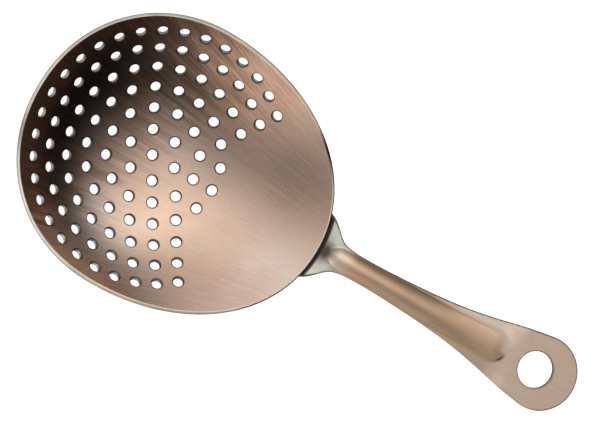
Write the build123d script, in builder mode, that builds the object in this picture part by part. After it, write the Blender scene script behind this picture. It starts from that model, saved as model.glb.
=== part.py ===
from build123d import *
import math
import os

# Julep strainer: a pressed, perforated egg-shaped dish with a pressed strip
# handle spot-welded under its rim. Millimetres, +Z up, the dish opens upward
# and the handle runs towards +X. The origin is the middle of the footprint,
# level with the lowest point of the dish's outer face. Shapes are described
# about the dish centre, and those of the handle in its own yawed frame:
# "along" is measured from the dish centre, "across" from the handle's middle.

dish_centre_x = -45.733   # centre hole of the perforation, from the origin

# --- dish ---
sheet_dish = 1.2
rim_tip = 36.75           # inner rim edge, centre to tip (-X)
rim_heel = 48.1           # inner rim edge, centre to handle side (+X)
rim_half_width = 36.4
rim_power = 2.08          # superellipse power of the rim outline
rim_step_deg = 6          # spacing of the points on the rim outline
rim_height = 16.3         # plane of the inner rim edge above z = 0
dome_c2 = 0.0065          # dome section z = c2 r^2 + c4 r^4 inside the dish
dome_c4 = 3.96e-6
dome_blend = 4.5          # sharpness of the change from dome to straight wall
limit_steps = 90          # steps of the wall slope table over half a turn
normal_step = 0.05        # half the span over which the dish gradient is taken

# --- perforation ---
drain_hole_dia = 2.7
# plan radius, half angle of the bare sector towards the handle (degrees);
# ring n holds 6n places, and the first row is the centre hole
drain_rings = [(0.0, 0), (6.85, 0), (12.64, 0), (18.27, 0),
               (23.70, 30.5), (28.78, 36.5), (33.40, 40.5)]

# --- handle ---
sheet_handle = 1.2
handle_yaw = math.radians(1.7)   # turn off the dish's centre line
handle_top = 16.5         # height of the handle's flat upper face
bend_blend = 0.9          # size of the soft bend where the foot leaves the wall
foot_reach = 60.0         # the dish wall shapes the strip only short of this
foot_gap = 0.02           # seam between foot and dish wall
foot_corner_radius = 3.0
hang_hole_dia = 10.0
hang_hole_along = 116.95
paddle_radius = 10.3
paddle_centre = 118.85
paddle_join = math.radians(98.5)   # where the paddle's end arc meets the sides
# distance along, half width of the strip
strip = [(41.2, 9.6), (44.5, 10.1), (47.4, 9.15), (49.1, 8.1), (50.7, 6.85),
         (52.3, 5.4), (53.9, 4.3), (56.0, 3.72), (62.1, 3.53), (72.0, 3.80),
         (78.6, 4.13), (83.6, 4.5), (88.6, 5.0), (92.0, 5.45), (96.1, 6.1),
         (99.5, 6.75), (102.9, 7.45), (106.2, 8.2), (109.6, 8.88), (113.0, 9.5)]

# --- pressed rib along the strip ---
rib_start, rib_end = 50.6, 107.2
rib_foot_extra = 1.2      # extra length of the rib's rounded end at the foot
# distance along, rib height, rib half width
rib_table = [(50.0, 1.0, 2.5), (54.0, 1.4, 2.95), (58.0, 1.75, 3.25), (64.0, 1.95, 3.38),
             (72.0, 1.9, 3.5), (80.0, 1.6, 3.6), (88.0, 1.2, 3.7), (94.0, 0.85, 3.95),
             (99.0, 0.6, 4.2), (104.0, 0.38, 4.33), (108.0, 0.26, 4.35)]
rib_soft = 0.28           # full softness of the crease round the rib
rib_soft_height = 1.2     # rib height from which the crease has full softness
rib_soft_floor = 0.2      # share of the softness left at zero rib height

# --- cross arch of the strip either side of the rib ---
arch_radius = 42.0
arch_in = (49.0, 55.0)    # the arch grows from the foot between these
arch_out = (103.0, 111.0)  # and fades to a flat paddle between these

# --- spot welds ---
weld_dia = 3.6
weld_depth = 0.35         # penetration into each sheet
weld_spots = [(45.0, -5.4), (44.3, 0.0), (45.0, 5.4)]   # along, across
dimple_radius = 9.0       # spherical dimple in the handle's underside at each weld
dimple_depth = 0.18

trim_base = -2            # height at which the trimming prisms start


# ---------------------------------------------------------------------------
# small tools
# ---------------------------------------------------------------------------
def spread(start, end, count):
    """Evenly spaced values, both ends included."""
    return [start + (end - start) * i / (count - 1) for i in range(count)]


def soft_min(first, second, size):
    """Lesser of two values, rounded off where they come within size."""
    overlap = max(size - abs(first - second), 0.0) / size
    return min(first, second) - overlap * overlap * size / 4


def smooth_step(value, start, end):
    """Ease from 0 at start to 1 at end."""
    t = min(max((value - start) / (end - start), 0), 1)
    return t * t * (3 - 2 * t)


def interpolate(rows, place, column):
    """Monotone cubic through a column of a table, level at both ends."""
    if place <= rows[0][0]:
        return rows[0][column]
    if place >= rows[-1][0]:
        return rows[-1][column]
    slopes = [(after[column] - before[column]) / (after[0] - before[0])
              for before, after in zip(rows, rows[1:])]
    i = max(k for k in range(len(rows) - 1) if rows[k][0] <= place)

    def tangent(k):
        if k == 0 or k == len(rows) - 1 or slopes[k - 1] * slopes[k] <= 0:
            return 0.0
        return 2 * slopes[k - 1] * slopes[k] / (slopes[k - 1] + slopes[k])

    span = rows[i + 1][0] - rows[i][0]
    t = (place - rows[i][0]) / span
    return ((2 * t ** 3 - 3 * t ** 2 + 1) * rows[i][column]
            + (t ** 3 - 2 * t ** 2 + t) * tangent(i) * span
            + (3 * t ** 2 - 2 * t ** 3) * rows[i + 1][column]
            + (t ** 3 - t ** 2) * tangent(i + 1) * span)


# ---------------------------------------------------------------------------
# dish surface: heights above z = 0, x and y from the dish centre
# ---------------------------------------------------------------------------
def rim_radius(angle):
    cosine, sine = math.cos(angle), math.sin(angle)
    length = rim_heel if cosine > 0 else rim_tip
    return ((abs(cosine) / length) ** rim_power
            + (abs(sine) / rim_half_width) ** rim_power) ** (-1 / rim_power)


def wall_slope(radius, limit):
    """Slope of the dome, levelling off at the limit of the straight wall."""
    dome = 2 * dome_c2 * radius + 4 * dome_c4 * radius ** 3
    return dome / (1 + (dome / limit) ** dome_blend) ** (1 / dome_blend)


def rise(radius, limit, steps=48):
    """Height gained from the centre out to a radius, by Simpson's rule."""
    step = radius / steps
    total = 0.0
    for i in range(steps):
        start = i * step
        total += (wall_slope(start, limit) + 4 * wall_slope(start + step / 2, limit)
                  + wall_slope(start + step, limit))
    return total * step / 6


def solve_limit(angle):
    """Wall slope that brings the dish to the rim height at this angle."""
    radius, target = rim_radius(angle), rim_height - sheet_dish
    low, high = 0.2, 6.0
    for _ in range(40):
        middle = 0.5 * (low + high)
        if rise(radius, middle) > target:
            high = middle
        else:
            low = middle
    return 0.5 * (low + high)


# the dish is symmetric about its X axis, so half a turn is enough
limit_table = [solve_limit(math.pi * i / limit_steps) for i in range(limit_steps + 1)]


def slope_limit(angle):
    place = abs(angle) / math.pi * limit_steps
    i = min(int(place), limit_steps - 1)
    share = place - i
    return limit_table[i] * (1 - share) + limit_table[i + 1] * share


def dish_inner(x, y):
    return sheet_dish + rise(math.hypot(x, y), slope_limit(math.atan2(y, x)))


def dish_normal(x, y):
    step = normal_step
    slope_x = (dish_inner(x + step, y) - dish_inner(x - step, y)) / (2 * step)
    slope_y = (dish_inner(x, y + step) - dish_inner(x, y - step)) / (2 * step)
    return Vector(-slope_x, -slope_y, 1).normalized()


def dish_below(x, y, depth):
    """Height at a depth, square to the sheet, under the inner face."""
    return dish_inner(x, y) - depth / dish_normal(x, y).Z


def dish_plane(x, y, z):
    """Plane square to the dish normal."""
    return Plane(origin=(x + dish_centre_x, y, z), z_dir=dish_normal(x, y))


# ---------------------------------------------------------------------------
# handle upper face
# ---------------------------------------------------------------------------
def to_dish(along, across):
    """Handle frame to x, y from the dish centre."""
    return (along * math.cos(handle_yaw) - across * math.sin(handle_yaw),
            along * math.sin(handle_yaw) + across * math.cos(handle_yaw))


def to_tool(along, across):
    """Handle frame to x, y from the origin."""
    x, y = to_dish(along, across)
    return x + dish_centre_x, y


def rib_height(along, across):
    height = interpolate(rib_table, along, 1)
    half_width = interpolate(rib_table, along, 2)
    foot_end = interpolate(rib_table, rib_start, 2) + rib_foot_extra
    paddle_end = interpolate(rib_table, rib_end, 2)
    # distance from the rib's spine: 0 on it, 1 on the rib's outline
    if along < rib_start + foot_end:
        reach = math.hypot((rib_start + foot_end - along) / foot_end, across / half_width)
    elif along > rib_end - paddle_end:
        reach = math.hypot((along - rib_end + paddle_end) / paddle_end, across / half_width)
    else:
        reach = abs(across) / half_width
    share = rib_soft_floor + (1 - rib_soft_floor) * min(1.0, height / rib_soft_height)
    return -soft_min(0.0, -height * (1 - reach * reach), rib_soft * share)


def handle_face(along, across):
    arch = across * across / (2 * arch_radius)
    arch *= smooth_step(along, *arch_in) * (1 - smooth_step(along, *arch_out))
    height = handle_top - arch
    if along < foot_reach:
        wall = dish_below(*to_dish(along, across), sheet_dish) - foot_gap
        height = soft_min(wall, height, bend_blend)
    return height + rib_height(along, across)


# ---------------------------------------------------------------------------
# places square to the dish sheet
# ---------------------------------------------------------------------------
def drain_places():
    """Every drain hole, at mid sheet."""
    places = []
    for ring, (radius, bare_angle) in enumerate(drain_rings):
        count = max(1, 6 * ring)
        for i in range(count):
            angle = 360.0 * i / count
            if min(angle, 360 - angle) < bare_angle:
                continue
            x = radius * math.cos(math.radians(angle))
            y = radius * math.sin(math.radians(angle))
            places.append(dish_plane(x, y, dish_below(x, y, 0.5 * sheet_dish)))
    return places


def seam_plane(along, across):
    """Place in the middle of the seam between the two sheets."""
    x, y = to_dish(along, across)
    return dish_plane(x, y, dish_below(x, y, sheet_dish) - foot_gap / 2)


weld_places = [seam_plane(*spot) for spot in weld_spots]


# ---------------------------------------------------------------------------
# bowl: the inner face is trimmed by the rim outline and thickened outward, so
# that the sheared edge stays square to the sheet
# ---------------------------------------------------------------------------
def make_bowl():
    rim_points = []
    for degrees in range(0, 360, rim_step_deg):
        angle = math.radians(degrees)
        radius = rim_radius(angle)
        rim_points.append((radius * math.cos(angle) + dish_centre_x,
                           radius * math.sin(angle)))

    with BuildPart() as rim_prism:
        with BuildSketch(Plane.XY.offset(trim_base)):
            with BuildLine():
                Spline(*rim_points, periodic=True)
            make_face()
        extrude(amount=40)

    grid = [[Vector(x + dish_centre_x, y, dish_inner(x, y)) for y in spread(-40.5, 40.5, 43)]
            for x in spread(-40.5, 52.0, 47)]
    sheet = Face.make_surface_from_array_of_points(grid, tol=0.004, min_deg=3, max_deg=5)
    trimmed = (sheet & rim_prism.part).faces()[0]

    with BuildPart() as bowl:
        thicken(trimmed, amount=-sheet_dish)
        with Locations(*drain_places()):
            Cylinder(radius=drain_hole_dia / 2, height=4 * sheet_dish, mode=Mode.SUBTRACT)
        with Locations(*weld_places):
            Cylinder(radius=weld_dia / 2, height=2 * weld_depth, mode=Mode.SUBTRACT)
    return bowl.part


# ---------------------------------------------------------------------------
# handle: pressed strip with a flared foot that follows the dish wall, a
# raised rib and a flat paddle with the hang hole
# ---------------------------------------------------------------------------
def make_handle():
    join_along = paddle_centre + paddle_radius * math.cos(paddle_join)
    join_across = paddle_radius * math.sin(paddle_join)
    left_side = [to_tool(along, half) for along, half in strip + [(join_along, join_across)]]
    right_side = [to_tool(along, -half) for along, half in strip + [(join_along, join_across)]]
    paddle_tip = to_tool(paddle_centre + paddle_radius, 0)

    with BuildPart() as strip_prism:
        with BuildSketch(Plane.XY.offset(trim_base)) as outline:
            with BuildLine():
                Spline(*left_side)
                ThreePointArc(left_side[-1], paddle_tip, right_side[-1])
                Spline(*right_side)
                Line(left_side[0], right_side[0])
            make_face()
            # the two corners at the foot
            fillet(outline.vertices().sort_by(Axis.X)[:2], radius=foot_corner_radius)
        extrude(amount=30)

    # grid stations along the handle, closest together at the foot
    stations = (spread(39.5, 59.5, 61) + spread(60.0, 104.0, 67)[1:]
                + spread(104.5, 112.0, 24) + spread(113.0, 131.0, 19))
    grid = [[Vector(*to_tool(along, across), handle_face(along, across))
             for across in spread(-12.0, 12.0, 65)]
            for along in stations]
    sheet = Face.make_surface_from_array_of_points(grid, tol=0.006, min_deg=3, max_deg=5)
    trimmed = (sheet & strip_prism.part).faces()[0]

    dimple_offset = foot_gap / 2 + sheet_handle + dimple_radius - dimple_depth
    with BuildPart() as handle:
        thicken(trimmed, amount=-sheet_handle)
        with Locations((*to_tool(hang_hole_along, 0), handle_top)):
            Cylinder(radius=hang_hole_dia / 2, height=6 * sheet_handle, mode=Mode.SUBTRACT)
        with Locations(*weld_places):
            Cylinder(radius=weld_dia / 2, height=2 * weld_depth, mode=Mode.SUBTRACT)
        with Locations(*[place.offset(-dimple_offset) for place in weld_places]):
            Sphere(radius=dimple_radius, mode=Mode.SUBTRACT)
    return handle.part


# ---------------------------------------------------------------------------
# spot weld nuggets: separate solids, half in each sheet
# ---------------------------------------------------------------------------
def make_spot_welds():
    with BuildPart() as spot_welds:
        with Locations(*weld_places):
            Cylinder(radius=weld_dia / 2, height=2 * weld_depth)
    return spot_welds.part


os.makedirs("parts", exist_ok=True)
pieces = {"bowl": make_bowl, "handle": make_handle, "spot_welds": make_spot_welds}
for name, make_piece in pieces.items():
    piece = make_piece()
    piece.label = name
    export_step(piece, f"parts/{name}.step")
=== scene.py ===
"""Julep strainer: a punched dish and its ribbed handle in brushed copper plate.

The dish opens upwards and rests on z = 0. Its heel is at +x and its tip at -x.
The handle is welded under the heel and runs out along +x, turned slightly
towards +y. Both are fine sheet-metal meshes with rolled edges.
Shape lengths are millimetres from the dish centre. Meshes, materials and
camera are in metres in the row frame.
"""

import math
from types import SimpleNamespace

import bpy
import numpy as np
from mathutils import Matrix, Vector
from mathutils.geometry import delaunay_2d_cdt


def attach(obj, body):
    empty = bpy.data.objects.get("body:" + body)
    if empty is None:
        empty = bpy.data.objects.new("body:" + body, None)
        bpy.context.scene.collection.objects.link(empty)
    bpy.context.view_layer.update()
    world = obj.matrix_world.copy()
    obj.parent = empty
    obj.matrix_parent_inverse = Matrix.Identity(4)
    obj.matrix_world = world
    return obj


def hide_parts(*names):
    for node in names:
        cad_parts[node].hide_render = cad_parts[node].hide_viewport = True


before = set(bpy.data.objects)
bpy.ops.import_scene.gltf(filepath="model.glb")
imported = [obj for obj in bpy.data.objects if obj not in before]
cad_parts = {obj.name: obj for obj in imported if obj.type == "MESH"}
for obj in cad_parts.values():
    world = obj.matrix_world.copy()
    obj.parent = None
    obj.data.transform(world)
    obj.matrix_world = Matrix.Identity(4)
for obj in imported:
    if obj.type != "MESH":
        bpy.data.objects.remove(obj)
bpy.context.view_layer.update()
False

# ---------------------------------------------------------------------------
# driving dimensions
# ---------------------------------------------------------------------------
MM = 0.001
DISH_BACK = 45.733   # the dish centre lies this far towards -x from the row's origin

DISH_THICK = 1.2
DISH_FILLET = 0.26
RIM_TIP, RIM_HEEL, RIM_HALF = 36.75, 48.1, 36.4  # rim reach to -x, +x and each side
RIM_POWER = 2.08     # superellipse power of the rim
RIM_Z = 16.3
# wall slope: 2 SQUARE r + 4 FOURTH r^3, eased into a steepest value
SQUARE, FOURTH, SLOPE_BLEND = 0.0065, 3.96e-6, 4.5
HOLE_R = 1.35
# ring radius, angle each side of +x left without holes (degrees)
HOLE_RINGS = [(0.0, 0), (6.85, 0), (12.64, 0), (18.27, 0),
              (23.70, 30.5), (28.78, 36.5), (33.40, 40.5)]
BRUSH_X = 112.0      # the dish's brushed lines run towards this point on +x

HANDLE_THICK = 1.2
HANDLE_FILLET = 0.22
YAW = math.radians(1.7)
TOP = 16.5           # upper face of the flat handle
BEND, GAP = 0.9, 0.02  # softness of the bend under the dish, gap to its wall
UNDER_DISH = 60      # the handle may touch the dish short of this
HANG_R, HANG_X = 5.0, 116.95  # hanging hole
PAD_R, PAD_X = 10.3, 118.85   # round end
PAD_JOIN = math.radians(98.5)
FOOT_CORNER = 3.0
# along the handle, half width
STRIP = [(41.2, 9.6), (44.5, 10.1), (47.4, 9.15), (49.1, 8.1), (50.7, 6.85),
         (52.3, 5.4), (53.9, 4.3), (56.0, 3.72), (62.1, 3.53), (72.0, 3.80),
         (78.6, 4.13), (83.6, 4.5), (88.6, 5.0), (92.0, 5.45), (96.1, 6.1),
         (99.5, 6.75), (102.9, 7.45), (106.2, 8.2), (109.6, 8.88), (113.0, 9.5)]
RIB_START, RIB_END = 50.6, 107.2
# along the handle, rib height, rib half width
RIB = [(50.0, 1.0, 2.5), (54.0, 1.4, 2.95), (58.0, 1.75, 3.25), (64.0, 1.95, 3.38),
       (72.0, 1.9, 3.5), (80.0, 1.6, 3.6), (88.0, 1.2, 3.7), (94.0, 0.85, 3.95),
       (99.0, 0.6, 4.2), (104.0, 0.38, 4.33), (108.0, 0.26, 4.35)]
RIB_SOFT = 0.28
ARCH_R = 42.0        # the strip arches across, between these fades
ARCH_IN, ARCH_OUT = (49.0, 55.0), (103.0, 111.0)
WELD_R, WELD_DENT = 1.8, 0.2
WELDS = [(45.0, -5.4), (44.3, 0.0), (45.0, 5.4)]  # along, across


# ---------------------------------------------------------------------------
# dish surface
# ---------------------------------------------------------------------------
def rim_radius(turn):
    cos, sin = np.cos(turn), np.sin(turn)
    reach = np.where(cos > 0, RIM_HEEL, RIM_TIP)
    total = (np.abs(cos) / reach) ** RIM_POWER + (np.abs(sin) / RIM_HALF) ** RIM_POWER
    return total ** (-1 / RIM_POWER)


def wall_slope(radius, limit):
    slope = 2 * SQUARE * radius + 4 * FOURTH * radius ** 3
    return slope / (1 + (slope / limit) ** SLOPE_BLEND) ** (1 / SLOPE_BLEND)


def rise(radius, limit, steps=24):
    """Height gained from the centre, by Simpson's rule along the slope."""
    step = radius / steps
    total = 0.0
    for i in range(steps):
        start = i * step
        total = (total + wall_slope(start, limit) + 4 * wall_slope(start + step / 2, limit)
                 + wall_slope(start + step, limit))
    return total * step / 6


def steepest_slopes(turns):
    """The slope limit at each turn that brings the wall to RIM_Z at the rim."""
    low, high = np.full(len(turns), 0.2), np.full(len(turns), 6.0)
    for _ in range(40):
        middle = 0.5 * (low + high)
        over = rise(rim_radius(turns), middle) > RIM_Z - DISH_THICK
        high = np.where(over, middle, high)
        low = np.where(over, low, middle)
    return 0.5 * (low + high)


TURNS = np.linspace(0, math.pi, 721)
SLOPE_LIMITS = steepest_slopes(TURNS)


def dish_z(x, y):
    """Upper face of the dish."""
    limit = np.interp(np.abs(np.arctan2(y, x)), TURNS, SLOPE_LIMITS)
    return DISH_THICK + rise(np.hypot(x, y), limit)


def unit(vectors):
    return vectors / np.linalg.norm(vectors, axis=-1, keepdims=True)


def height_normal(height, x, y, reach=0.04):
    """Normal of a height field, from differences over a short reach."""
    slope_x = (height(x + reach, y) - height(x - reach, y)) / (2 * reach)
    slope_y = (height(x, y + reach) - height(x, y - reach)) / (2 * reach)
    return unit(np.stack([-slope_x, -slope_y, np.ones_like(slope_x)], -1))


def dish_outer(x, y):
    """Lower face of the dish."""
    return dish_z(x, y) - DISH_THICK / height_normal(dish_z, x, y)[..., 2]


# ---------------------------------------------------------------------------
# handle surface
# ---------------------------------------------------------------------------
def to_dish(along, across):
    """Turn handle directions into the dish's x and y."""
    cos, sin = math.cos(YAW), math.sin(YAW)
    return along * cos - across * sin, along * sin + across * cos


def soft_min(first, second, soft):
    near = np.maximum(soft - np.abs(first - second), 0.0) / soft
    return np.minimum(first, second) - near * near * soft / 4


def smooth(start, end, value):
    t = np.clip((value - start) / (end - start), 0, 1)
    return t * t * (3 - 2 * t)


def table(rows, at, column):
    """Monotone cubic through one column of a table."""
    xs = np.array([row[0] for row in rows])
    ys = np.array([row[column] for row in rows])
    slope = np.diff(ys) / np.diff(xs)
    tangent = np.zeros(len(xs))
    for k in range(1, len(xs) - 1):
        if slope[k - 1] * slope[k] > 0:
            tangent[k] = 2 * slope[k - 1] * slope[k] / (slope[k - 1] + slope[k])
    at = np.clip(at, xs[0], xs[-1])
    i = np.clip(np.searchsorted(xs, at, side="right") - 1, 0, len(xs) - 2)
    span = xs[i + 1] - xs[i]
    t = (at - xs[i]) / span
    return ((2 * t ** 3 - 3 * t ** 2 + 1) * ys[i]
            + (t ** 3 - 2 * t ** 2 + t) * tangent[i] * span
            + (3 * t ** 2 - 2 * t ** 3) * ys[i + 1]
            + (t ** 3 - t ** 2) * tangent[i + 1] * span)


def rib_height(along, across):
    height, half = table(RIB, along, 1), table(RIB, along, 2)
    start_length = float(table(RIB, np.array(RIB_START), 2)) + 1.2
    end_length = float(table(RIB, np.array(RIB_END), 2))
    # how far into a rounded end: 0 on the straight part, 1 at the very end
    end = np.where(along > RIB_END - end_length, (along - RIB_END + end_length) / end_length, 0.0)
    end = np.where(along < RIB_START + start_length,
                   (RIB_START + start_length - along) / start_length, end)
    squared = end * end + (across / half) ** 2
    soft = RIB_SOFT * (0.2 + 0.8 * np.minimum(1.0, height / 1.2))
    return -soft_min(0.0, -height * (1 - squared), soft)


def handle_z(along, across):
    """Upper face of the handle: the strip bends to follow the dish wall from below."""
    x, y = to_dish(along, across)
    fade = (1 - smooth(*ARCH_OUT, along)) * smooth(*ARCH_IN, along)
    face = TOP - fade * across * across / (2 * ARCH_R)
    near = along < UNDER_DISH
    # farther points are given a harmless place on the dish and a wall out of reach
    wall = dish_outer(np.where(near, x, 40.0), np.where(near, y, 0.0)) - GAP
    wall = np.where(near, wall, 1e3)
    face = np.where(near, soft_min(wall, face, BEND), face)
    return face + rib_height(along, across)


# ---------------------------------------------------------------------------
# sheet metal mesher
# ---------------------------------------------------------------------------
# values down the eight rings of an edge, from the upper face to the lower
CUT = (0, 0.1, 0.75, 1, 1, 1, 1, 1)
LIP_RIM = (1, 1, 0.6, 0, -0.7, -1, -1, -1)
LIP_HOLE = (1, 1, 0.8, 0.3, 0, 0.4, 1, 1)
LIP_FACE = 0.75                       # on the upper face, along the edge
ROLL = np.radians([22.5, 45, 67.5, 90])
BURR = 0.3                            # lower edge radius, as a share of the fillet


def inside(loop, points):
    """Which points lie inside a closed loop."""
    x, y = points[:, 0], points[:, 1]
    hit = np.zeros(len(points), bool)
    for (ax, ay), (bx, by) in zip(loop, np.roll(loop, -1, 0)):
        if ay == by:
            continue
        cross = (ay > y) != (by > y)
        hit ^= cross & (x < (bx - ax) * (y - ay) / (by - ay) + ax)
    return hit


def lattice(low, high, step):
    """Points of a triangular lattice over a box."""
    rows = []
    for j in range(int((high[1] - low[1]) / (step * 0.866)) + 2):
        xs = np.arange(low[0] + (step / 2 if j % 2 else 0), high[0], step)
        rows.append(np.stack([xs, np.full_like(xs, low[1] + j * step * 0.866)], 1))
    return np.concatenate(rows)


def loop_distance(loop, points):
    """Distance from points to the nearest point of a dense loop."""
    nearest = np.full(len(points), 1e9)
    for k in range(0, len(loop), 64):
        gaps = np.linalg.norm(points[:, None] - loop[None, k:k + 64], axis=2)
        nearest = np.minimum(nearest, gaps.min(1))
    return nearest


def loop_direction(points):
    return unit(np.roll(points, -1, 0) - np.roll(points, 1, 0))


def triangulate(loops, free):
    """Plan points and triangles inside the first loop and outside the others,
    with the point numbers of each loop."""
    points = [Vector(point) for point in np.concatenate(loops + [free])]
    edges, starts, start = [], [], 0
    for loop in loops:
        size = len(loop)
        edges += [(start + i, start + (i + 1) % size) for i in range(size)]
        starts.append(start)
        start += size
    found, _, faces, sources, _, _ = delaunay_2d_cdt(points, edges, [], 0, 1e-6)
    plan = np.array([(point[0], point[1]) for point in found])
    number = {k: i for i, source in enumerate(sources) for k in source}
    triangles = np.array([face for face in faces if len(face) == 3], int)
    middle = plan[triangles].mean(1)
    keep = inside(loops[0], middle)
    for loop in loops[1:]:
        centre = loop.mean(0)
        reach = np.abs(loop - centre).max() * 1.2
        near = np.where(keep & (np.abs(middle - centre).max(1) < reach))[0]
        if len(near):
            keep[near[inside(loop, middle[near])]] = False
    triangles = triangles[keep]
    a, b, c = (plan[triangles[:, k]] for k in range(3))
    area = (b[:, 0] - a[:, 0]) * (c[:, 1] - a[:, 1]) - (b[:, 1] - a[:, 1]) * (c[:, 0] - a[:, 0])
    triangles[area < 0] = triangles[area < 0][:, ::-1]
    # drop the points no triangle uses
    used = np.unique(triangles)
    renumber = -np.ones(len(plan), int)
    renumber[used] = np.arange(len(used))
    loop_ids = [np.array([renumber[number[start + i]] for i in range(len(loop))])
                for start, loop in zip(starts, loops)]
    return plan[used], renumber[triangles], loop_ids


def edge_rings(points, normal, out, thick, fillet):
    """Rings of a rolled edge from upper to lower face; the lower roll is sharper."""
    burr = BURR * fillet
    rings, normals = [], []
    for t in ROLL:
        rings.append(points + out * fillet * math.sin(t) + normal * fillet * (math.cos(t) - 1))
        normals.append(out * math.sin(t) + normal * math.cos(t))
    for t in ROLL[::-1]:
        rings.append(points + out * (fillet - burr * (1 - math.sin(t)))
                     - normal * (thick + burr * (math.cos(t) - 1)))
        normals.append(out * math.sin(t) - normal * math.cos(t))
    return rings, normals


def sheet(name, place, outer, holes, free, thick, fillet, brush, dent=None):
    """A closed sheet-metal mesh. place gives the upper face points and normals of
    plan points. outer and holes are closed plan loops, set in from the real edge
    by the fillet. free are plan points inside the sheet. brush gives the layout
    of the brushed grain, and dent reshapes the lower face."""
    loops = [outer] + holes
    plan, triangles, loop_ids = triangulate(loops, free)
    top, normal = place(plan)
    low = top - thick * normal
    if dent is not None:
        low = dent(low, -normal, plan)
    count = len(plan)
    points, normals = [top, low], [normal, -normal]
    # cut: + on the sheared rim, - on the hole walls. lip: the rolled-over edges,
    # + round the rim's upper edge, - round its lower edge and the holes
    cut, lip = [np.zeros(2 * count)], [np.zeros(2 * count)]
    faces = triangles.tolist() + (triangles[:, ::-1] + count).tolist()
    total = 2 * count
    for index, (loop, ids) in enumerate(zip(loops, loop_ids)):
        is_rim = index == 0
        edge = top[ids]
        out = unit(np.cross(loop_direction(edge), normal[ids]))
        x, y = loop[:, 0], loop[:, 1]
        ccw = np.sum(x * np.roll(y, -1) - np.roll(x, -1) * y) > 0
        if ccw != is_rim:
            out = -out
        rings, ring_normals = edge_rings(edge, normal[ids], out, thick, fillet)
        points += rings
        normals += ring_normals
        sign = 1.0 if is_rim else -1.0
        size = len(loop)
        cut += [np.full(size, sign * value) for value in CUT]
        lip += [np.full(size, sign * value) for value in (LIP_RIM if is_rim else LIP_HOLE)]
        lip[0][ids] = LIP_FACE * sign
        strips = [total + k * size + np.arange(size) for k in range(len(rings))]
        strips = [ids] + strips + [ids + count]
        total += size * len(rings)
        for upper, lower in zip(strips, strips[1:]):
            quads = np.stack([upper, lower, np.roll(lower, -1), np.roll(upper, -1)], 1)
            if ccw != is_rim:
                quads = quads[:, ::-1]
            faces += quads.tolist()
    points = np.concatenate(points) * MM
    grain = brush(points[:, :2]) * 10
    points[:, 0] -= DISH_BACK * MM
    return write_mesh(name, points, faces, unit(np.concatenate(normals)), grain,
                      {"cut": np.concatenate(cut), "lip": np.concatenate(lip)})


def write_mesh(name, points, faces, normals, grain, attributes):
    mesh = bpy.data.meshes.new(name)
    mesh.from_pydata(points.tolist(), [], faces)
    mesh.update()
    mesh.polygons.foreach_set("use_smooth", np.ones(len(mesh.polygons), bool))
    mesh.normals_split_custom_set_from_vertices(normals.tolist())
    layer = mesh.uv_layers.new(name="grain")
    corners = np.zeros(len(mesh.loops), np.int32)
    mesh.loops.foreach_get("vertex_index", corners)
    layer.data.foreach_set("uv", grain[corners].astype(np.float32).ravel())
    for label, values in attributes.items():
        attribute = mesh.attributes.new(label, "FLOAT", "POINT")
        attribute.data.foreach_set("value", values.astype(np.float32))
    piece = bpy.data.objects.new(name, mesh)
    bpy.context.scene.collection.objects.link(piece)
    return piece


# ---------------------------------------------------------------------------
# dish
# ---------------------------------------------------------------------------
def place_dish(plan):
    x, y = plan[:, 0], plan[:, 1]
    return np.stack([x, y, dish_z(x, y)], 1), height_normal(dish_z, x, y)


def brush_dish(plan):
    """Distance and turn about a far point, so the lines run together towards it."""
    offset = plan - np.array([BRUSH_X * MM, 0.0])
    turn = np.arctan2(-offset[:, 1], -offset[:, 0])
    return np.stack([-np.hypot(offset[:, 0], offset[:, 1]), 0.1 * turn], 1)


def ring_on_dish(hole_x, hole_y, radius, count):
    """Plan points of a circle that lies square to the sheet round its hole."""
    hole_x, hole_y = np.array([hole_x]), np.array([hole_y])
    axis = height_normal(dish_z, hole_x, hole_y)[0]
    # the axis passes through the middle of the sheet
    middle_z = dish_z(hole_x, hole_y)[0] - 0.5 * DISH_THICK / axis[2]
    centre = np.array([hole_x[0], hole_y[0], middle_z])
    first = np.cross(axis, [0, 1, 0])
    first /= np.linalg.norm(first)
    second = np.cross(axis, first)
    t = np.linspace(0, 2 * math.pi, count, endpoint=False)
    want = radius * (np.cos(t)[:, None] * first + np.sin(t)[:, None] * second)
    x, y = centre[0] + want[:, 0], centre[1] + want[:, 1]
    for _ in range(8):
        offset = np.stack([x, y, dish_z(x, y)], 1) - centre
        error = want - (offset - (offset @ axis)[:, None] * axis)
        x, y = x + error[:, 0], y + error[:, 1]
    return np.stack([x, y], 1)


def clear_of_holes(free, holes, gap):
    """Free points beyond a gap from each hole's centre, roughly in the hole's own plane."""
    centres = np.array([hole.mean(0) for hole in holes])
    axis = height_normal(dish_z, centres[:, 0], centres[:, 1])
    offset = free[:, None] - centres[None]
    lean = np.maximum(np.linalg.norm(axis[:, :2], axis=1), 1e-6)
    radial = np.sum(offset * axis[None, :, :2], 2) / lean
    squared = np.sum(offset * offset, 2) + radial ** 2 * (1 / axis[:, 2] ** 2 - 1)[None]
    return free[np.sqrt(squared).min(1) > gap]


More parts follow.
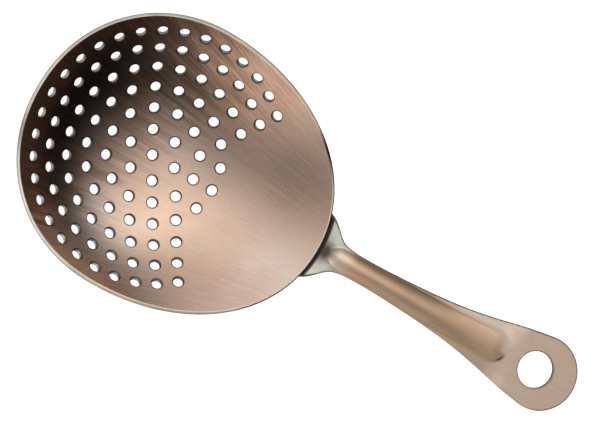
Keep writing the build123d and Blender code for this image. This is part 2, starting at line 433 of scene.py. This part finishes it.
def build_dish():
    t = np.linspace(0, 2 * math.pi, 420, endpoint=False)
    rim = np.stack([rim_radius(t) * np.cos(t), rim_radius(t) * np.sin(t)], 1)
    edge, normal = place_dish(rim)
    out = np.cross(loop_direction(edge), normal)
    outer = (edge - out * DISH_FILLET)[:, :2]
    hole_edge = HOLE_R + DISH_FILLET
    holes, near = [], []
    for ring, (radius, skip) in enumerate(HOLE_RINGS):
        count = max(1, 6 * ring)
        for i in range(count):
            angle = 360.0 * i / count
            if min(angle, 360 - angle) < skip:
                continue
            x = radius * math.cos(math.radians(angle))
            y = radius * math.sin(math.radians(angle))
            holes.append(ring_on_dish(x, y, hole_edge, 36))
            for grow, points in ((0.3, 30), (0.75, 22)):
                near.append(ring_on_dish(x, y, hole_edge + grow, points))
    for inset in (0.3, 0.8):
        near.append((edge - out * (DISH_FILLET + inset))[:, :2])
    free = lattice((-38, -38), (50, 38), 0.95)
    free = free[inside(outer, free)]
    free = free[loop_distance(outer, free) > 1.3]
    free = clear_of_holes(free, holes, hole_edge + 1.1)
    free = np.concatenate([free] + near)
    return sheet("bowl_metal", place_dish, outer, holes, free, DISH_THICK, DISH_FILLET,
                 brush_dish)


# ---------------------------------------------------------------------------
# handle
# ---------------------------------------------------------------------------
def place_handle(plan):
    along, across = plan[:, 0], plan[:, 1]
    normal = height_normal(handle_z, along, across, 0.02)
    points = np.stack([*to_dish(along, across), handle_z(along, across)], 1)
    return points, np.stack([*to_dish(normal[:, 0], normal[:, 1]), normal[:, 2]], 1)


def brush_handle(plan):
    """Along and across the handle."""
    cos, sin = math.cos(YAW), math.sin(YAW)
    return plan @ np.array([[cos, -sin], [sin, cos]])


def weld_dents(low, low_normal, plan):
    """Press a shallow dimple into the lower face at each weld."""
    for weld_at in WELDS:
        offset = plan - np.array(weld_at)
        radius = np.hypot(offset[:, 0] / 0.9, offset[:, 1])
        depth = np.clip(1 - (radius / (WELD_R + 0.15)) ** 2, 0, 1) ** 1.5
        low = low - WELD_DENT * depth[:, None] * low_normal
    return low


def between(start, end, start_knot, end_knot, t):
    span = end_knot - start_knot
    return (end_knot - t) / span * start + (t - start_knot) / span * end


def spline(points, count):
    """Centripetal Catmull-Rom through plan points."""
    points = np.array(points, float)
    extended = np.vstack([2 * points[0] - points[1], points, 2 * points[-1] - points[-2]])
    curve = []
    for i in range(1, len(extended) - 2):
        near = extended[i - 1:i + 3]
        knots = [0.0]
        for start, end in zip(near, near[1:]):
            knots.append(knots[-1] + np.linalg.norm(end - start) ** 0.5)
        for t in np.linspace(knots[1], knots[2], count, endpoint=False):
            first = [between(near[k], near[k + 1], knots[k], knots[k + 1], t)
                     for k in range(3)]
            second = [between(first[k], first[k + 1], knots[k], knots[k + 2], t)
                      for k in range(2)]
            curve.append(between(*second, knots[1], knots[2], t))
    curve.append(points[-1])
    return np.array(curve)


def resample(loop, step):
    """Closed loop with even spacing."""
    closed = np.vstack([loop, loop[:1]])
    length = np.r_[0, np.cumsum(np.linalg.norm(np.diff(closed, axis=0), axis=1))]
    t = np.linspace(0, length[-1], int(length[-1] / step), endpoint=False)
    return np.stack([np.interp(t, length, closed[:, 0]), np.interp(t, length, closed[:, 1])], 1)


def strip_outline():
    tip = (PAD_X + PAD_R * math.cos(PAD_JOIN), PAD_R * math.sin(PAD_JOIN))
    side = spline(STRIP + [tip], 14)
    t = np.linspace(PAD_JOIN, -PAD_JOIN, 90)[1:-1]
    arc = np.stack([PAD_X + PAD_R * np.cos(t), PAD_R * np.sin(t)], 1)
    # round the two corners of the foot, hidden under the dish
    start, half = STRIP[0]
    t = np.radians(np.linspace(180, 98, 12))
    corner = np.stack([start + FOOT_CORNER + FOOT_CORNER * np.cos(t),
                       half - FOOT_CORNER + 0.45 + FOOT_CORNER * np.sin(t)], 1)
    side = np.vstack([corner, side[side[:, 0] > start + FOOT_CORNER + 0.1]])
    return resample(np.vstack([side, arc, side[::-1] * [1, -1]]), 0.4)


def build_handle():
    loop = strip_outline()
    direction = loop_direction(loop)
    out = np.stack([-direction[:, 1], direction[:, 0]], 1)  # the loop runs clockwise
    outer = loop - out * HANDLE_FILLET
    hang_edge = HANG_R + HANDLE_FILLET
    t = np.linspace(0, 2 * math.pi, 96, endpoint=False)
    hang = np.stack([HANG_X + hang_edge * np.cos(t), hang_edge * np.sin(t)], 1)
    free = lattice((40.5, -11), (130, 11), 0.42)
    free = free[inside(outer, free)]
    free = free[loop_distance(outer, free) > 0.3]
    free = free[np.hypot(free[:, 0] - HANG_X, free[:, 1]) > hang_edge + 0.3]
    return sheet("handle_metal", place_handle, outer, [hang], free, HANDLE_THICK,
                 HANDLE_FILLET, brush_handle, weld_dents)


bowl = build_dish()
handle = build_handle()
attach(bowl, "root")
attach(handle, "root")
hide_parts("bowl")
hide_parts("handle")
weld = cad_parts["spot_welds"]


# ---------------------------------------------------------------------------
# shader building
# ---------------------------------------------------------------------------
class Shader:
    """Builds the node tree of a material or world."""

    def __init__(self, owner):
        self.owner = owner
        owner.use_nodes = True
        self.tree = owner.node_tree
        self.tree.nodes.clear()

    def make(self, kind, inputs, **settings):
        """Add a node; inputs may be values or sockets to link."""
        node = self.tree.nodes.new(kind)
        for key, value in settings.items():
            setattr(node, key, value)
        for key, value in inputs.items():
            if isinstance(value, bpy.types.NodeSocket):
                self.tree.links.new(value, node.inputs[key])
            else:
                node.inputs[key].default_value = value
        return node

    def node(self, kind, inputs={}, output=0, **settings):
        """Add a node and give one of its outputs."""
        return self.make(kind, inputs, **settings).outputs[output]

    def surface(self, shader):
        self.make("ShaderNodeOutputMaterial", {0: shader})
        return self.owner

    def math(self, operation, a, b=0.0, c=0.0, clamp=False):
        return self.node("ShaderNodeMath", {0: a, 1: b, 2: c},
                         operation=operation, use_clamp=clamp)

    def scaled(self, value, by, plus, clamp=False):
        return self.math("MULTIPLY_ADD", value, by, plus, clamp)

    def minus(self, a, b):
        return self.math("SUBTRACT", a, b)

    def larger(self, a, b):
        return self.math("MAXIMUM", a, b)

    def times(self, first, *rest):
        return self.math("MULTIPLY", first, rest[0] if len(rest) == 1 else self.times(*rest))

    def band(self, value, zero, one):
        """0 at zero, 1 at one, eased between."""
        rising = zero < one
        return self.node("ShaderNodeMapRange", {
            "Value": value, "From Min": min(zero, one), "From Max": max(zero, one),
            "To Min": 0.0 if rising else 1.0, "To Max": 1.0 if rising else 0.0,
        }, interpolation_type="SMOOTHSTEP")

    def spot(self, x, y, centre, spread):
        """A soft round spot."""
        a, b = (self.times(self.minus(value, middle), 1 / width)
                for value, middle, width in zip((x, y), centre, spread))
        squared = self.scaled(a, by=a, plus=self.times(b, b))
        return self.math("EXPONENT", self.times(squared, -0.5))

    def line(self, value, centre, spread):
        """A soft line where the value passes its centre."""
        return self.spot(value, 0.0, (centre, 0.0), (spread, 1.0))

    def mix(self, factor, a, b, blend="MIX"):
        a, b = (colour if isinstance(colour, bpy.types.NodeSocket) else (*colour, 1)
                for colour in (a, b))
        return self.node("ShaderNodeMix", {0: factor, 6: a, 7: b}, output=2,
                         data_type="RGBA", blend_type=blend)

    def tinted(self, colour, red, green, blue):
        tint = self.node("ShaderNodeCombineColor", {0: red, 1: green, 2: blue})
        return self.mix(1.0, colour, tint, "MULTIPLY")

    def split(self, vector):
        """x, y and z of a vector."""
        return self.make("ShaderNodeSeparateXYZ", {0: vector}).outputs[:]


# ---------------------------------------------------------------------------
# copper plate, shared layers (metres)
# ---------------------------------------------------------------------------
GAIN = 1.15          # light level; the metal's own reflectance is taken down by the same
BRIGHTEST = 0.97     # cap on the red of the plate
ANISOTROPIC_TURN = 0.25


def dish_place(mat):
    """Position measured from the dish centre."""
    place = mat.node("ShaderNodeTexCoord", output="Object")
    return mat.node("ShaderNodeVectorMath", {0: place, 1: (DISH_BACK * MM, 0, 0)},
                    operation="ADD")


def grain_layout(mat):
    grain = mat.node("ShaderNodeUVMap", uv_map="grain")
    return mat.node("ShaderNodeVectorMath", {0: grain, "Scale": 0.1}, operation="SCALE")


def plating_noise(mat, place, layout):
    """Brushed streaks of three sizes and clouds of two, each centred on 0."""
    def streak(length, width, seed):
        mapped = mat.node("ShaderNodeMapping", {
            "Vector": layout, "Scale": (1 / length, 1 / width, 0.0),
            "Location": (seed, seed * 1.7, 0)})
        return mat.minus(mat.node("ShaderNodeTexNoise", {
            "Vector": mapped, "Scale": 1.0, "Detail": 2.0, "Roughness": 0.6,
        }, noise_dimensions="2D"), 0.5)

    def cloud(scale):
        return mat.minus(mat.node("ShaderNodeTexNoise", {
            "Vector": place, "Scale": scale, "Detail": 3.0, "Roughness": 0.5}), 0.5)

    return SimpleNamespace(
        fine=streak(length=0.0050, width=0.00016, seed=3.1),
        mid=streak(length=0.011, width=0.00042, seed=9.7),
        broad=streak(length=0.026, width=0.0016, seed=5.3),
        cloud=cloud(scale=48.0), small_cloud=cloud(scale=130.0))


def plated(mat, noise, dark_share, light, dark):
    """Light to dark plating, with cooler and warmer clouds."""
    return mat.node("ShaderNodeHueSaturation", {
        "Color": mat.mix(dark_share, light, dark),
        "Hue": mat.scaled(noise.small_cloud, by=0.035, plus=0.5),
        "Saturation": mat.scaled(noise.cloud, by=0.7, plus=1.0), "Value": 1.0})


def brushed(mat, noise, colour, grain):
    """Lighter and darker brushed lines, capped at the brightest plate."""
    tone = mat.scaled(noise.fine, by=grain / GAIN, plus=1 / GAIN)
    tone = mat.times(tone, mat.scaled(noise.mid, by=grain * 0.9, plus=1.0))
    tone = mat.times(tone, mat.scaled(noise.broad, by=grain * 0.5, plus=1.0))
    colour = mat.tinted(colour, tone, tone, tone)
    red = mat.node("ShaderNodeSeparateColor", {0: colour})
    cap = mat.math("DIVIDE", BRIGHTEST, mat.larger(red, BRIGHTEST))
    return mat.tinted(colour, cap, cap, cap)


def streaked_roughness(mat, noise, base):
    return mat.scaled(noise.cloud, by=0.10, plus=mat.scaled(noise.mid, by=0.16, plus=base))


def edge_masks(mat):
    cut = mat.node("ShaderNodeAttribute", output="Fac", attribute_name="cut")
    lip = mat.node("ShaderNodeAttribute", output="Fac", attribute_name="lip")
    return SimpleNamespace(
        rim=mat.band(cut, zero=0.1, one=0.9), hole=mat.band(cut, zero=-0.1, one=-0.9),
        rim_lip=mat.band(lip, zero=0.2, one=0.9), hole_lip=mat.band(lip, zero=-0.2, one=-0.9))


def bare_edges(mat, noise, masks, colour, roughness, bare, painted_lip, painted_lip_colour, wall, ring,
               painted_highlight):
    """Sheared rim, hole walls and lips; gives colour, metallic and roughness."""
    speck = mat.scaled(noise.small_cloud, by=0.9, plus=1.0)
    bare = mat.tinted(bare, speck, speck, speck)
    # painted light on the rim's lip: a highlight on the dish, shade on the handle
    painted_lip = mat.times(masks.rim_lip, painted_lip)
    colour = mat.mix(mat.times(painted_lip, 0.95), colour, painted_lip_colour)
    colour = mat.mix(masks.hole, colour, wall)
    colour = mat.mix(masks.rim, colour, bare)
    # painted shade: a darker ring round the hole edges and the rim's lower edge
    colour = mat.mix(mat.times(masks.hole_lip, 0.9), colour, ring)
    dull = mat.larger(mat.larger(mat.times(masks.hole, 0.6), painted_lip), painted_highlight)
    metallic = mat.minus(1.0, mat.times(mat.larger(masks.rim, dull), 0.65))
    roughness = mat.scaled(mat.larger(masks.rim, dull), by=0.18, plus=roughness)
    return colour, metallic, roughness


def metal(mat, noise, colour, metallic, roughness, anisotropic, follow_grain=True):
    bump = mat.node("ShaderNodeBump", {
        "Strength": 0.30, "Distance": 0.00002,
        "Height": mat.math("ADD", noise.fine, noise.mid)})
    inputs = {"Base Color": colour, "Metallic": metallic, "Roughness": roughness,
              "Anisotropic": anisotropic, "Anisotropic Rotation": ANISOTROPIC_TURN,
              "Normal": bump}
    if follow_grain:
        inputs["Tangent"] = mat.node("ShaderNodeTangent", direction_type="UV_MAP",
                                     uv_map="grain")
    return mat.surface(mat.node("ShaderNodeBsdfPrincipled", inputs))


# ---------------------------------------------------------------------------
# dish copper
# ---------------------------------------------------------------------------
# darker plating in the tip, partly patina and partly painted dark reflection: a quadratic field
# in x and y, in units of its span
PATINA_AND_SHADE_SPAN = 0.030
PATINA_AND_SHADE_BASE = -0.7
PATINA_AND_SHADE_X, PATINA_AND_SHADE_Y, PATINA_AND_SHADE_XX, PATINA_AND_SHADE_XY, PATINA_AND_SHADE_YY = -7.5, 2.4, -1.6, 1.8, -2.4
PATINA_AND_SHADE_BROAD, PATINA_AND_SHADE_MID = 5.0, 2.2      # how far streaks break it up
# darker areas: centre x, y, spread x, y, amount in the exponent
SHADE = [
    (-0.004, 0.020, 0.020, 0.010, -0.50),    # long band on the +y side of the middle
    (0.035, 0.015, 0.009, 0.008, -0.35),     # its end near the heel
    (0.014, 0.030, 0.012, 0.006, -0.20),
    (-0.014, -0.027, 0.014, 0.010, -0.30),
    (-0.034, 0.000, 0.008, 0.020, -0.20),    # edge of the tip
    (0.034, -0.024, 0.016, 0.009, -0.22),
]
# warmer (+) and cooler (-) areas, same columns
WARM = [
    (0.012, 0.028, 0.018, 0.007, 0.10),
    (0.042, -0.008, 0.010, 0.010, -0.10),
    (-0.010, -0.028, 0.014, 0.010, -0.10),
]
WARM_RGB = (0.75, -0.25, -0.95)          # what warmth does to red, green and blue
DISH_LIGHT, DISH_DARK, DISH_DEEP = (0.92, 0.665, 0.525), (0.33, 0.205, 0.15), (0.24, 0.165, 0.125)
# RIM_DARK is painted shade on the heel side of the rim
RIM_PALE, RIM_WARM, RIM_DARK = (1.0, 0.93, 0.85), (1.0, 0.80, 0.62), (0.03, 0.023, 0.018)
RIM_SPOT = (0.25, 0.23, 0.20)
# painted highlight on the rim's lip
LIP_HIGHLIGHT = (0.95, 0.86, 0.78)
# HOLE_RING is painted shade: a dark ring round each hole's edge and the rim's lower edge
HOLE_RING, HOLE_WALL = (0.07, 0.055, 0.045), (0.78, 0.76, 0.72)


def dish_plating(mat, noise, x, y):
    """The plating is darker in the deep tip, partly patina and partly painted dark reflection: a
    logistic curve of a quadratic field.
    """
    x, y = mat.times(x, 1 / PATINA_AND_SHADE_SPAN), mat.times(y, 1 / PATINA_AND_SHADE_SPAN)
    field = PATINA_AND_SHADE_BASE
    for term, weight in ((x, PATINA_AND_SHADE_X), (y, PATINA_AND_SHADE_Y), (mat.times(x, x), PATINA_AND_SHADE_XX),
                         (mat.times(x, y), PATINA_AND_SHADE_XY), (mat.times(y, y), PATINA_AND_SHADE_YY),
                         (noise.broad, PATINA_AND_SHADE_BROAD), (noise.mid, PATINA_AND_SHADE_MID)):
        field = mat.scaled(term, by=weight, plus=field)
    falling = mat.math("EXPONENT", mat.times(field, -1.0))
    dark_share = mat.math("DIVIDE", 1.0, mat.math("ADD", 1.0, falling))
    dark_share = mat.math("ADD", mat.times(dark_share, 0.95),
                      mat.scaled(noise.cloud, by=0.3, plus=0.0), clamp=True)
    dark = mat.mix(mat.band(field, zero=0.5, one=5.5), DISH_DARK, DISH_DEEP)
    return plated(mat, noise, dark_share, DISH_LIGHT, dark)


def dish_areas(mat, noise, x, y, colour):
    def areas(rows):
        total = 0.0
        for *place, amount in rows:
            total = mat.scaled(mat.spot(x, y, place[:2], place[2:]), by=amount, plus=total)
        return total

    shade, warm = areas(SHADE), areas(WARM)
    streaks = mat.scaled(noise.broad, by=1.6, plus=1.0)
    shade = mat.times(shade, mat.scaled(noise.mid, by=2.4, plus=streaks))
    return mat.tinted(colour, *(mat.math("EXPONENT", mat.scaled(warm, by=weight, plus=shade))
                                for weight in WARM_RGB))


def dish_edges(mat, noise, x, y, colour, roughness):
    """Painted shade keeps the heel side of the rim dark, with a painted highlight line inside it.
    """
    masks = edge_masks(mat)
    # painted shade: the heel side of the rim's cut face and lip is darkened
    shaded_heel = mat.band(mat.scaled(y, by=0.12, plus=x), zero=0.0335, one=0.0395)
    warmer = mat.times(mat.band(x, zero=-0.016, one=0.002),
                       mat.band(mat.scaled(y, by=-0.3, plus=x), zero=0.046, one=0.030))
    pale = mat.mix(warmer, RIM_PALE, RIM_WARM)
    spot = mat.spot(x, y, centre=(-0.0350, -0.0125), spread=(0.004, 0.004))
    pale = mat.mix(mat.times(spot, 0.75), pale, RIM_SPOT)
    bare = mat.mix(shaded_heel, pale, RIM_DARK)
    # painted highlight: a bright line along the lip on the heel's lower side
    painted_lip = mat.times(mat.band(x, zero=0.010, one=0.020), mat.band(y, zero=0.024, one=0.014))
    # painted highlight: a pale lip from the middle round to the dark heel side
    pale_lip = mat.times(masks.rim_lip, mat.minus(1.0, shaded_heel),
                         mat.band(x, zero=-0.020, one=-0.004))
    colour = mat.mix(pale_lip, colour, pale)
    dark_lip = mat.times(masks.rim_lip, shaded_heel, mat.minus(1.0, painted_lip))
    colour = mat.mix(dark_lip, colour, RIM_DARK)
    return bare_edges(mat, noise, masks, colour, roughness, bare=bare, painted_lip=painted_lip,
                      painted_lip_colour=LIP_HIGHLIGHT, wall=HOLE_WALL, ring=HOLE_RING, painted_highlight=0.0)


def dish_copper():
    mat = Shader(bpy.data.materials.new("copper_dish"))
    place = dish_place(mat)
    x, y, _ = mat.split(place)
    noise = plating_noise(mat, place, grain_layout(mat))
    colour = dish_plating(mat, noise, x, y)
    colour = dish_areas(mat, noise, x, y, colour)
    colour = brushed(mat, noise, colour, grain=0.34)
    roughness = streaked_roughness(mat, noise, base=0.27)
    finish = dish_edges(mat, noise, x, y, colour, roughness)
    return metal(mat, noise, *finish, anisotropic=0.6)


# ---------------------------------------------------------------------------
# handle copper
# ---------------------------------------------------------------------------
HANDLE_LIGHT, HANDLE_DARK = (1.0, 0.70, 0.47), (0.70, 0.48, 0.33)
# painted light and shade: a pale sheen on the foot, shade at the rib's start, on the neck and in
# the creases, highlights along the rib
FOOT_SHEEN = (0.92, 0.91, 0.82)
RIB_START_SHADE = (0.13, 0.115, 0.10)
NECK_SHADE = (0.36, 0.255, 0.175)
CREAM = (1.0, 0.82, 0.68)
RIDGE = (1.0, 0.82, 0.69)
PALE_END = (0.93, 0.71, 0.555)
PAINTED_SHADOW = (0.06, 0.05, 0.04)
# EDGE_DARK is painted shade on the handle's edge
EDGE_PALE, EDGE_DARK = (0.60, 0.50, 0.42), (0.16, 0.13, 0.11)
HANG_RING, HANG_WALL = (0.42, 0.33, 0.25), (0.40, 0.31, 0.22)
# outline of the rib for its marks: where its round end starts, half width there,
# and how the half width changes per metre back from there
RIB_TURN, RIB_HALF, RIB_TAPER = 0.1029, 0.00433, -0.043


def rib_marks(mat, along, across, up, colour):
    """Painted highlights and shade round the rib's edge; gives the colour and the places of
    painted highlight.
    """
    band, times = mat.band, mat.times
    past = mat.larger(mat.minus(along, RIB_TURN), 0.0)
    back = mat.larger(mat.minus(RIB_TURN, along), 0.0)
    reach = mat.math("SQRT", mat.scaled(past, by=past, plus=times(across, across)))
    outside = mat.minus(reach, mat.scaled(back, by=RIB_TAPER, plus=RIB_HALF))
    # the flat end is paler than the neck, the rib stays redder
    flat = mat.larger(band(outside, zero=-0.0008, one=0.0006),
                      times(band(across, zero=0.0, one=0.0025), 0.4))
    colour = mat.mix(times(band(along, zero=0.090, one=0.104), flat), colour, PALE_END)
    # painted highlight: a cream strip on the +y side, just outside the rib
    flange = times(band(outside, zero=-0.0002, one=0.0005),
                   band(outside, zero=0.0034, one=0.0014))
    flange = times(flange, band(across, zero=0.0005, one=0.0035),
                   band(along, zero=0.080, one=0.094), band(along, zero=0.112, one=0.105))
    colour = mat.mix(flange, colour, CREAM)
    # painted highlight line along the rib's edge, with a painted shade line in the fold just
    # inside it
    ridge = times(mat.line(outside, centre=0.00015, spread=0.00028),
                  band(across, zero=-0.0012, one=0.0004), band(along, zero=0.085, one=0.100))
    fold = times(mat.line(outside, centre=-0.00035, spread=0.00016),
                 band(across, zero=0.0005, one=0.0020),
                 band(along, zero=0.070, one=0.080), band(along, zero=0.1045, one=0.098))
    colour = mat.mix(times(fold, 0.55), colour, NECK_SHADE)
    colour = mat.mix(ridge, colour, RIDGE)
    # painted highlight: a bright crest at the rib's round end
    crest = times(band(outside, zero=-0.0028, one=-0.0006),
                  band(outside, zero=0.0006, one=0.0001))
    crest = times(crest, band(across, zero=-0.0012, one=0.0006),
                  band(along, zero=0.1030, one=0.1052), band(across, zero=0.0042, one=0.0030))
    colour = mat.mix(times(crest, 0.8), colour, RIDGE)
    painted_highlight = times(mat.larger(ridge, crest), up)
    # painted shadow in the crease at the round end's -y corner
    corner = times(mat.line(outside, centre=0.0, spread=0.00030),
                   mat.line(across, centre=-0.0022, spread=0.0009))
    corner = times(corner, band(along, zero=0.1035, one=0.1052))
    return mat.mix(times(corner, 0.9), colour, PAINTED_SHADOW), painted_highlight


def neck_and_foot_marks(mat, along, across, side, up, colour):
    band, times = mat.band, mat.times
    # painted shade: the +y flank of the neck is darker
    flank = times(band(across, zero=-0.0003, one=0.0020),
                  band(along, zero=0.0555, one=0.0595), band(along, zero=0.094, one=0.080))
    colour = mat.mix(times(flank, up, 0.55), colour, NECK_SHADE)
    # painted sheen: the foot pale and grey, with a painted shadow spot in the middle
    foot = times(band(along, zero=0.0555, one=0.0530), band(side, zero=0.0016, one=0.0032))
    foot = mat.larger(times(foot, 0.9), times(band(along, zero=0.0585, one=0.0540), 0.5))
    colour = mat.mix(times(foot, up), colour, FOOT_SHEEN)
    start_shade = mat.spot(along, across, centre=(0.0502, -0.0002), spread=(0.0014, 0.0021))
    start_shade = mat.math("MULTIPLY", start_shade, 1.15, clamp=True)
    colour = mat.mix(times(start_shade, up), colour, RIB_START_SHADE)
    # painted shade in the corner under the rim, which curves back to each side
    rim_line = mat.scaled(times(across, across), by=-15.5, plus=0.0490)
    rim_shade = band(mat.minus(along, rim_line), zero=0.0008, one=0.0002)
    return mat.mix(times(rim_shade, up), colour, PAINTED_SHADOW)


def handle_copper():
    mat = Shader(bpy.data.materials.new("copper_handle"))
    layout = grain_layout(mat)
    noise = plating_noise(mat, dish_place(mat), layout)
    dark_share = mat.scaled(noise.broad, by=0.5, plus=0.12)
    dark_share = mat.scaled(noise.cloud, by=0.9, plus=dark_share, clamp=True)
    colour = plated(mat, noise, dark_share, HANDLE_LIGHT, HANDLE_DARK)
    along, across, _ = mat.split(layout)
    side = mat.math("ABSOLUTE", across)
    # the underside has none of the painted highlights and shade of the rib, neck and foot
    up = mat.split(mat.node("ShaderNodeTexCoord", output="Normal"))[2]
    up = mat.band(up, zero=-0.15, one=0.1)
    colour, painted_highlight = rib_marks(mat, along, across, up, colour)
    colour = neck_and_foot_marks(mat, along, across, side, up, colour)
    colour = brushed(mat, noise, colour, grain=0.22)
    roughness = streaked_roughness(mat, noise, base=0.43)
    # painted shade: the edge is dark on the +y side, round the end and at the foot
    dark = mat.larger(mat.band(across, zero=-0.0015, one=0.0015),
                      mat.band(along, zero=0.1190, one=0.1235))
    dark = mat.larger(dark, mat.band(along, zero=0.0565, one=0.0545))
    finish = bare_edges(mat, noise, edge_masks(mat), colour, roughness,
                        bare=mat.mix(dark, EDGE_PALE, EDGE_DARK), painted_lip=dark,
                        painted_lip_colour=EDGE_DARK, wall=HANG_WALL, ring=HANG_RING, painted_highlight=painted_highlight)
    return metal(mat, noise, *finish, anisotropic=0.5)


def weld_steel():
    mat = Shader(bpy.data.materials.new("spot_steel"))
    place = dish_place(mat)
    noise = plating_noise(mat, place, place)
    dark_share = mat.scaled(noise.cloud, by=1.0, plus=0.4, clamp=True)
    colour = plated(mat, noise, dark_share, light=(0.60, 0.55, 0.50), dark=(0.35, 0.28, 0.24))
    colour = brushed(mat, noise, colour, grain=0.2)
    return metal(mat, noise, colour, metallic=1.0, anisotropic=0.0, follow_grain=False,
                 roughness=streaked_roughness(mat, noise, base=0.4))


bowl.data.materials.append(dish_copper())
handle.data.materials.append(handle_copper())
weld.data.materials.clear()
weld.data.materials.append(weld_steel())

# ---------------------------------------------------------------------------
# stage: pale table, glowing to the camera so it stays pale under the dish
# ---------------------------------------------------------------------------
TABLE_HALF, TABLE_Z, TABLE_CELLS = 3.0, -0.0004, 24


def table_material():
    """Pale to the camera, grey to other rays, clear to the camera from below."""
    mat = Shader(bpy.data.materials.new("table_pale"))
    camera_ray = mat.node("ShaderNodeLightPath", output="Is Camera Ray")
    pale = mat.node("ShaderNodeBsdfDiffuse", {"Color": (0.80, 0.80, 0.80, 1), "Roughness": 1.0})
    glow = mat.node("ShaderNodeEmission", {"Color": (1.0, 1.0, 0.995, 1), "Strength": 0.90})
    seen = mat.node("ShaderNodeAddShader", {0: pale, 1: glow})
    grey = mat.node("ShaderNodeBsdfDiffuse", {"Color": (0.30, 0.30, 0.30, 1)})
    upper = mat.node("ShaderNodeMixShader", {0: camera_ray, 1: grey, 2: seen})
    below = mat.times(mat.node("ShaderNodeNewGeometry", output="Backfacing"), camera_ray)
    clear = mat.node("ShaderNodeBsdfTransparent")
    return mat.surface(mat.node("ShaderNodeMixShader", {0: below, 1: upper, 2: clear}))


def make_table():
    cells = TABLE_CELLS
    ticks = [(i / cells - 0.5) * 2 * TABLE_HALF for i in range(cells + 1)]
    points = [(x, y, TABLE_Z) for y in ticks for x in ticks]
    corners = [j * (cells + 1) + i for j in range(cells) for i in range(cells)]
    faces = [(k, k + 1, k + cells + 2, k + cells + 1) for k in corners]
    mesh = bpy.data.meshes.new("table")
    mesh.from_pydata(points, [], faces)
    floor = bpy.data.objects.new("table", mesh)
    bpy.context.scene.collection.objects.link(floor)
    mesh.materials.append(table_material())


make_table()


# ---------------------------------------------------------------------------
# camera: high above the table, tilted a little from straight down
# ---------------------------------------------------------------------------
def turn_matrix(first, second, angle):
    """Turn from the first axis towards the second."""
    matrix = np.eye(3)
    matrix[first, first] = matrix[second, second] = math.cos(angle)
    matrix[second, first] = math.sin(angle)
    matrix[first, second] = -math.sin(angle)
    return matrix


# row frame to view frame: x right, y up, z to the camera
VIEW = (turn_matrix(0, 1, math.radians(-31.37)) @ turn_matrix(2, 0, math.radians(13.49))
        @ turn_matrix(1, 2, math.radians(-2.45)))
CAMERA_PLACE = (0.0390947, -0.01516026, 0.748828)  # in the view frame, from VIEW_CENTRE
VIEW_CENTRE = (-DISH_BACK * MM, 0, 0.0005)
LENS, SENSOR = 169.871856, 36                      # millimetres


def make_camera():
    data = bpy.data.cameras.new("camera")
    data.lens = LENS
    data.sensor_width = SENSOR
    data.sensor_fit = "HORIZONTAL"
    data.clip_start, data.clip_end = 0.01, 50
    camera = bpy.data.objects.new("camera", data)
    bpy.context.scene.collection.objects.link(camera)
    pose = np.eye(4)
    pose[:3, :3] = VIEW.T
    pose[:3, 3] = VIEW.T @ np.array(CAMERA_PLACE) + np.array(VIEW_CENTRE)
    camera.matrix_world = Matrix(pose.tolist())
    bpy.context.scene.camera = camera


make_camera()

# ---------------------------------------------------------------------------
# light: a studio dome of soft round lights
# ---------------------------------------------------------------------------
# direction in the view frame, sharpness, power
LIGHTS = [
    ((-0.31, -0.50, 0.81), 13, 0.18), ((0.38, 0.22, 0.90), 13, 0.47),
    ((0.00, 0.44, 0.90), 13, 0.67), ((-0.38, 0.22, 0.90), 13, 0.25),
    ((0.38, -0.22, 0.90), 13, 0.43), ((0.64, 0.41, 0.64), 13, 0.84),
    ((0.32, 0.70, 0.64), 13, 0.43), ((-0.50, 0.58, 0.64), 13, 0.46),
    ((-0.88, -0.39, 0.28), 13, 1.87), ((-0.60, -0.75, 0.28), 13, 0.29),
    ((-0.18, -0.94, 0.28), 13, 0.30), ((-0.83, 0.50, 0.22), 20, 1.20),
    ((-0.52, -0.85, 0.05), 8, 0.40), ((0.0, 0.0, 1.0), 1.0, 0.02),
]


def make_world():
    world = Shader(bpy.data.worlds.new("studio"))
    bpy.context.scene.world = world.owner
    ray = world.node("ShaderNodeTexCoord", output="Generated")

    def math_node(operation, *values):
        return world.node("ShaderNodeMath", dict(enumerate(values)), operation=operation)

    total = 0.0
    for direction, sharpness, power in LIGHTS:
        towards = np.array(direction, float)
        towards /= np.linalg.norm(towards)
        facing = world.node("ShaderNodeVectorMath", {0: ray, 1: VIEW.T @ towards},
                            output="Value", operation="DOT_PRODUCT")
        falloff = math_node("MULTIPLY_ADD", facing, sharpness, -sharpness)
        glow = math_node("MULTIPLY", math_node("EXPONENT", falloff), power * GAIN)
        total = math_node("ADD", total, glow)
    background = world.node("ShaderNodeBackground", {
        "Color": (1.0, 0.99, 0.975, 1), "Strength": total})
    world.make("ShaderNodeOutputWorld", {0: background})


make_world()
view = bpy.context.scene.view_settings
view.view_transform = "Standard"
view.look = "None"
view.exposure = 0.0
view.gamma = 1.0
